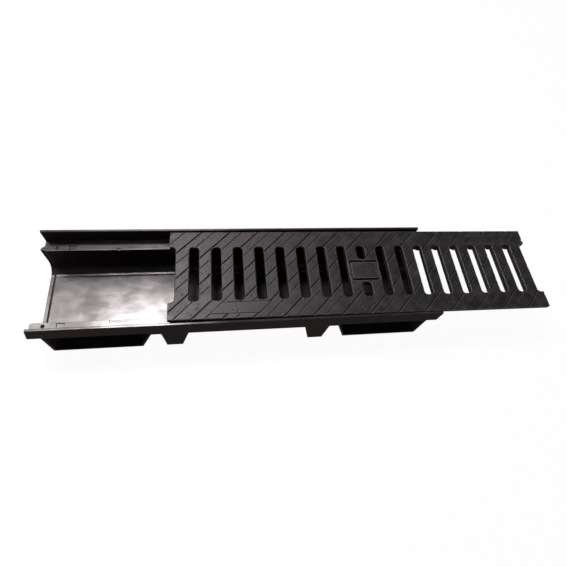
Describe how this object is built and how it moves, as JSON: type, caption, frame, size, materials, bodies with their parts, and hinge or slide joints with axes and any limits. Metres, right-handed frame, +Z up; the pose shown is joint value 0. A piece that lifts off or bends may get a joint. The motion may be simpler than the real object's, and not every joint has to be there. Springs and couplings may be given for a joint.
{
  "type": "drain grate with drainage channel",
  "caption": "Slotted cast drain grate with slanting anti-slip grooves, slid along a shallow moulded drainage channel with seats, rims and feet.",
  "frame": {"origin": "middle of the channel's base, on the surface that it stands on", "axes": "+X along the channel towards the end that the grate overhangs, +Y across it, +Z up"},
  "size_m": [0.6604, 0.135, 0.066],
  "materials": {
    "channel_plastic": "black polypropylene, injection moulded, glossy inside",
    "painted_iron": "sand-cast ductile iron dipped in black bitumen paint"
  },
  "bodies": {
    "root": {"channel": "channel_plastic", "grate": "painted_iron"}
  },
  "joints": []
}
